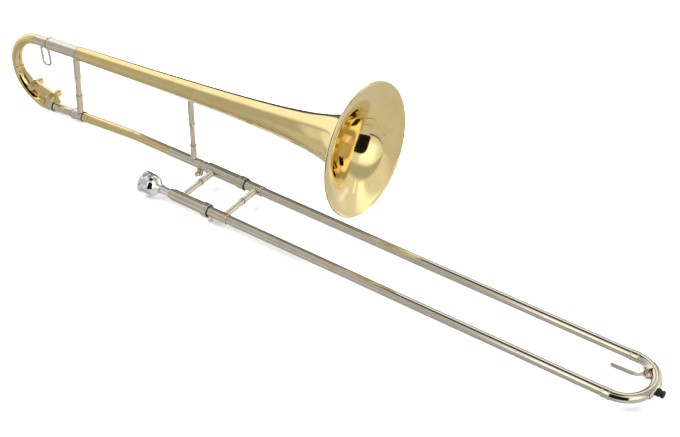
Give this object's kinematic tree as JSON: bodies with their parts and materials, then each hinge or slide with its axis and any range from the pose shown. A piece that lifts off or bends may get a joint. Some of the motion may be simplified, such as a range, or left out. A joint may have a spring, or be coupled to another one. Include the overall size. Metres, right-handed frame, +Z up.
{
  "type": "tenor trombone",
  "caption": "Tenor trombone lying on its side, bell up: hand slide with water key and lock, bell section on a clamped tenon, tuning slide with counterweight, and mouthpiece.",
  "frame": {"origin": "bottom centre of the bounding box of the whole instrument, hand slide closed and tuning slide home", "axes": "+X along the hand slide towards its crook and the bell's mouth, +Z up from the hand slide to the bell, +Y to the far slide tube"},
  "size_m": [1.205, 0.2026, 0.2775],
  "materials": {
    "yellow_brass": "clear lacquer over polished yellow brass",
    "nickel_silver": "polished nickel silver (a copper, nickel and zinc alloy)",
    "silver_plate": "bright silver plate",
    "spring_steel": "bright",
    "black_rubber": "matt black",
    "felt": "pressed felt",
    "cork": "natural cork"
  },
  "bodies": {
    "inner_slide": {"slide_tenon": "nickel_silver", "mouthpiece_receiver": "nickel_silver", "leadpipe": "yellow_brass", "near_barrel": "nickel_silver", "far_barrel": "nickel_silver", "far_barrel_ring": "nickel_silver", "near_felt": "felt", "far_felt": "felt", "inner_tube_near": "nickel_silver", "inner_tube_far": "nickel_silver", "inner_brace_foot_near": "nickel_silver", "inner_brace_foot_far": "nickel_silver", "inner_brace_rod": "nickel_silver"},
    "slide_lock": {"slide_lock_ring": "nickel_silver"},
    "outer_slide": {"outer_tube_near": "nickel_silver", "outer_tube_far": "nickel_silver", "outer_sleeve_near": "nickel_silver", "outer_sleeve_far": "nickel_silver", "outer_brace_foot_near": "nickel_silver", "outer_brace_foot_far": "nickel_silver", "outer_brace_rod": "nickel_silver", "crook_ferrule_near": "nickel_silver", "crook_ferrule_far": "nickel_silver", "crook": "nickel_silver", "crook_guard": "nickel_silver", "bumper_socket": "nickel_silver", "rubber_bumper": "black_rubber", "water_key_nipple": "nickel_silver", "water_key_saddle": "nickel_silver", "water_key_pin": "spring_steel", "water_key_spring": "spring_steel", "slide_lock_stud": "nickel_silver"},
    "water_key": {"water_key_lever": "nickel_silver", "water_key_cork": "cork"},
    "bell_section": {"bell": "yellow_brass", "tuning_receiver_upper": "nickel_silver", "tuning_receiver_lower": "nickel_silver", "neckpipe": "yellow_brass", "bell_receiver": "nickel_silver", "rear_brace_foot_top": "nickel_silver", "rear_brace_foot_bottom": "nickel_silver", "rear_brace_rod": "nickel_silver", "front_brace_foot_top": "nickel_silver", "front_brace_foot_bottom": "nickel_silver", "front_brace_rod": "nickel_silver", "bell_clamp_nut": "yellow_brass"},
    "bell_clamp": {"bell_clamp_screw": "nickel_silver"},
    "tuning_slide": {"tuning_bow": "yellow_brass", "tuning_leg_upper": "nickel_silver", "tuning_leg_lower": "nickel_silver", "tuning_leg_ring": "nickel_silver", "pull_ring": "nickel_silver", "counterweight_saddle": "yellow_brass", "counterweight_bolt_1": "yellow_brass", "counterweight_bolt_2": "yellow_brass", "counterweight_weight_1": "yellow_brass", "counterweight_weight_2": "yellow_brass"},
    "mouthpiece": {"mouthpiece": "silver_plate"}
  },
  "joints": [
    {"name": "hand_slide", "type": "slide", "parent": "inner_slide", "child": "outer_slide", "axis": [1, 0, 0], "range_m": [0, 0.6]},
    {"name": "water_key", "type": "hinge", "parent": "outer_slide", "child": "water_key", "pos_m": [0.56153, -0.018, 0.02212], "axis": [0, 0, -1], "range_deg": [0, 15], "stiffness_Nm_per_rad": 0.05, "springref_deg": -20.05},
    {"name": "tuning_slide", "type": "slide", "parent": "bell_section", "child": "tuning_slide", "axis": [-0.9973, 0, -0.0741], "range_m": [0, 0.04]},
    {"name": "bell_swivel", "type": "hinge", "parent": "inner_slide", "child": "bell_section", "pos_m": [-0.20016, 0.00138, 0.02212], "axis": [1, 0, 0], "range_deg": [-35, 35]},
    {"name": "bell_clamp", "type": "hinge", "parent": "bell_section", "child": "bell_clamp", "pos_m": [-0.20596, -0.00481, 0.00842], "axis": [0, -0.9135, 0.4067], "range_deg": [0, 270]},
    {"name": "mouthpiece", "type": "slide", "parent": "inner_slide", "child": "mouthpiece", "axis": [-1, 0, 0], "range_m": [0, 0.05]},
    {"name": "slide_lock", "type": "hinge", "parent": "inner_slide", "child": "slide_lock", "pos_m": [-0.20016, -0.08312, 0.02212], "axis": [1, 0, 0], "range_deg": [0, 40]}
  ]
}
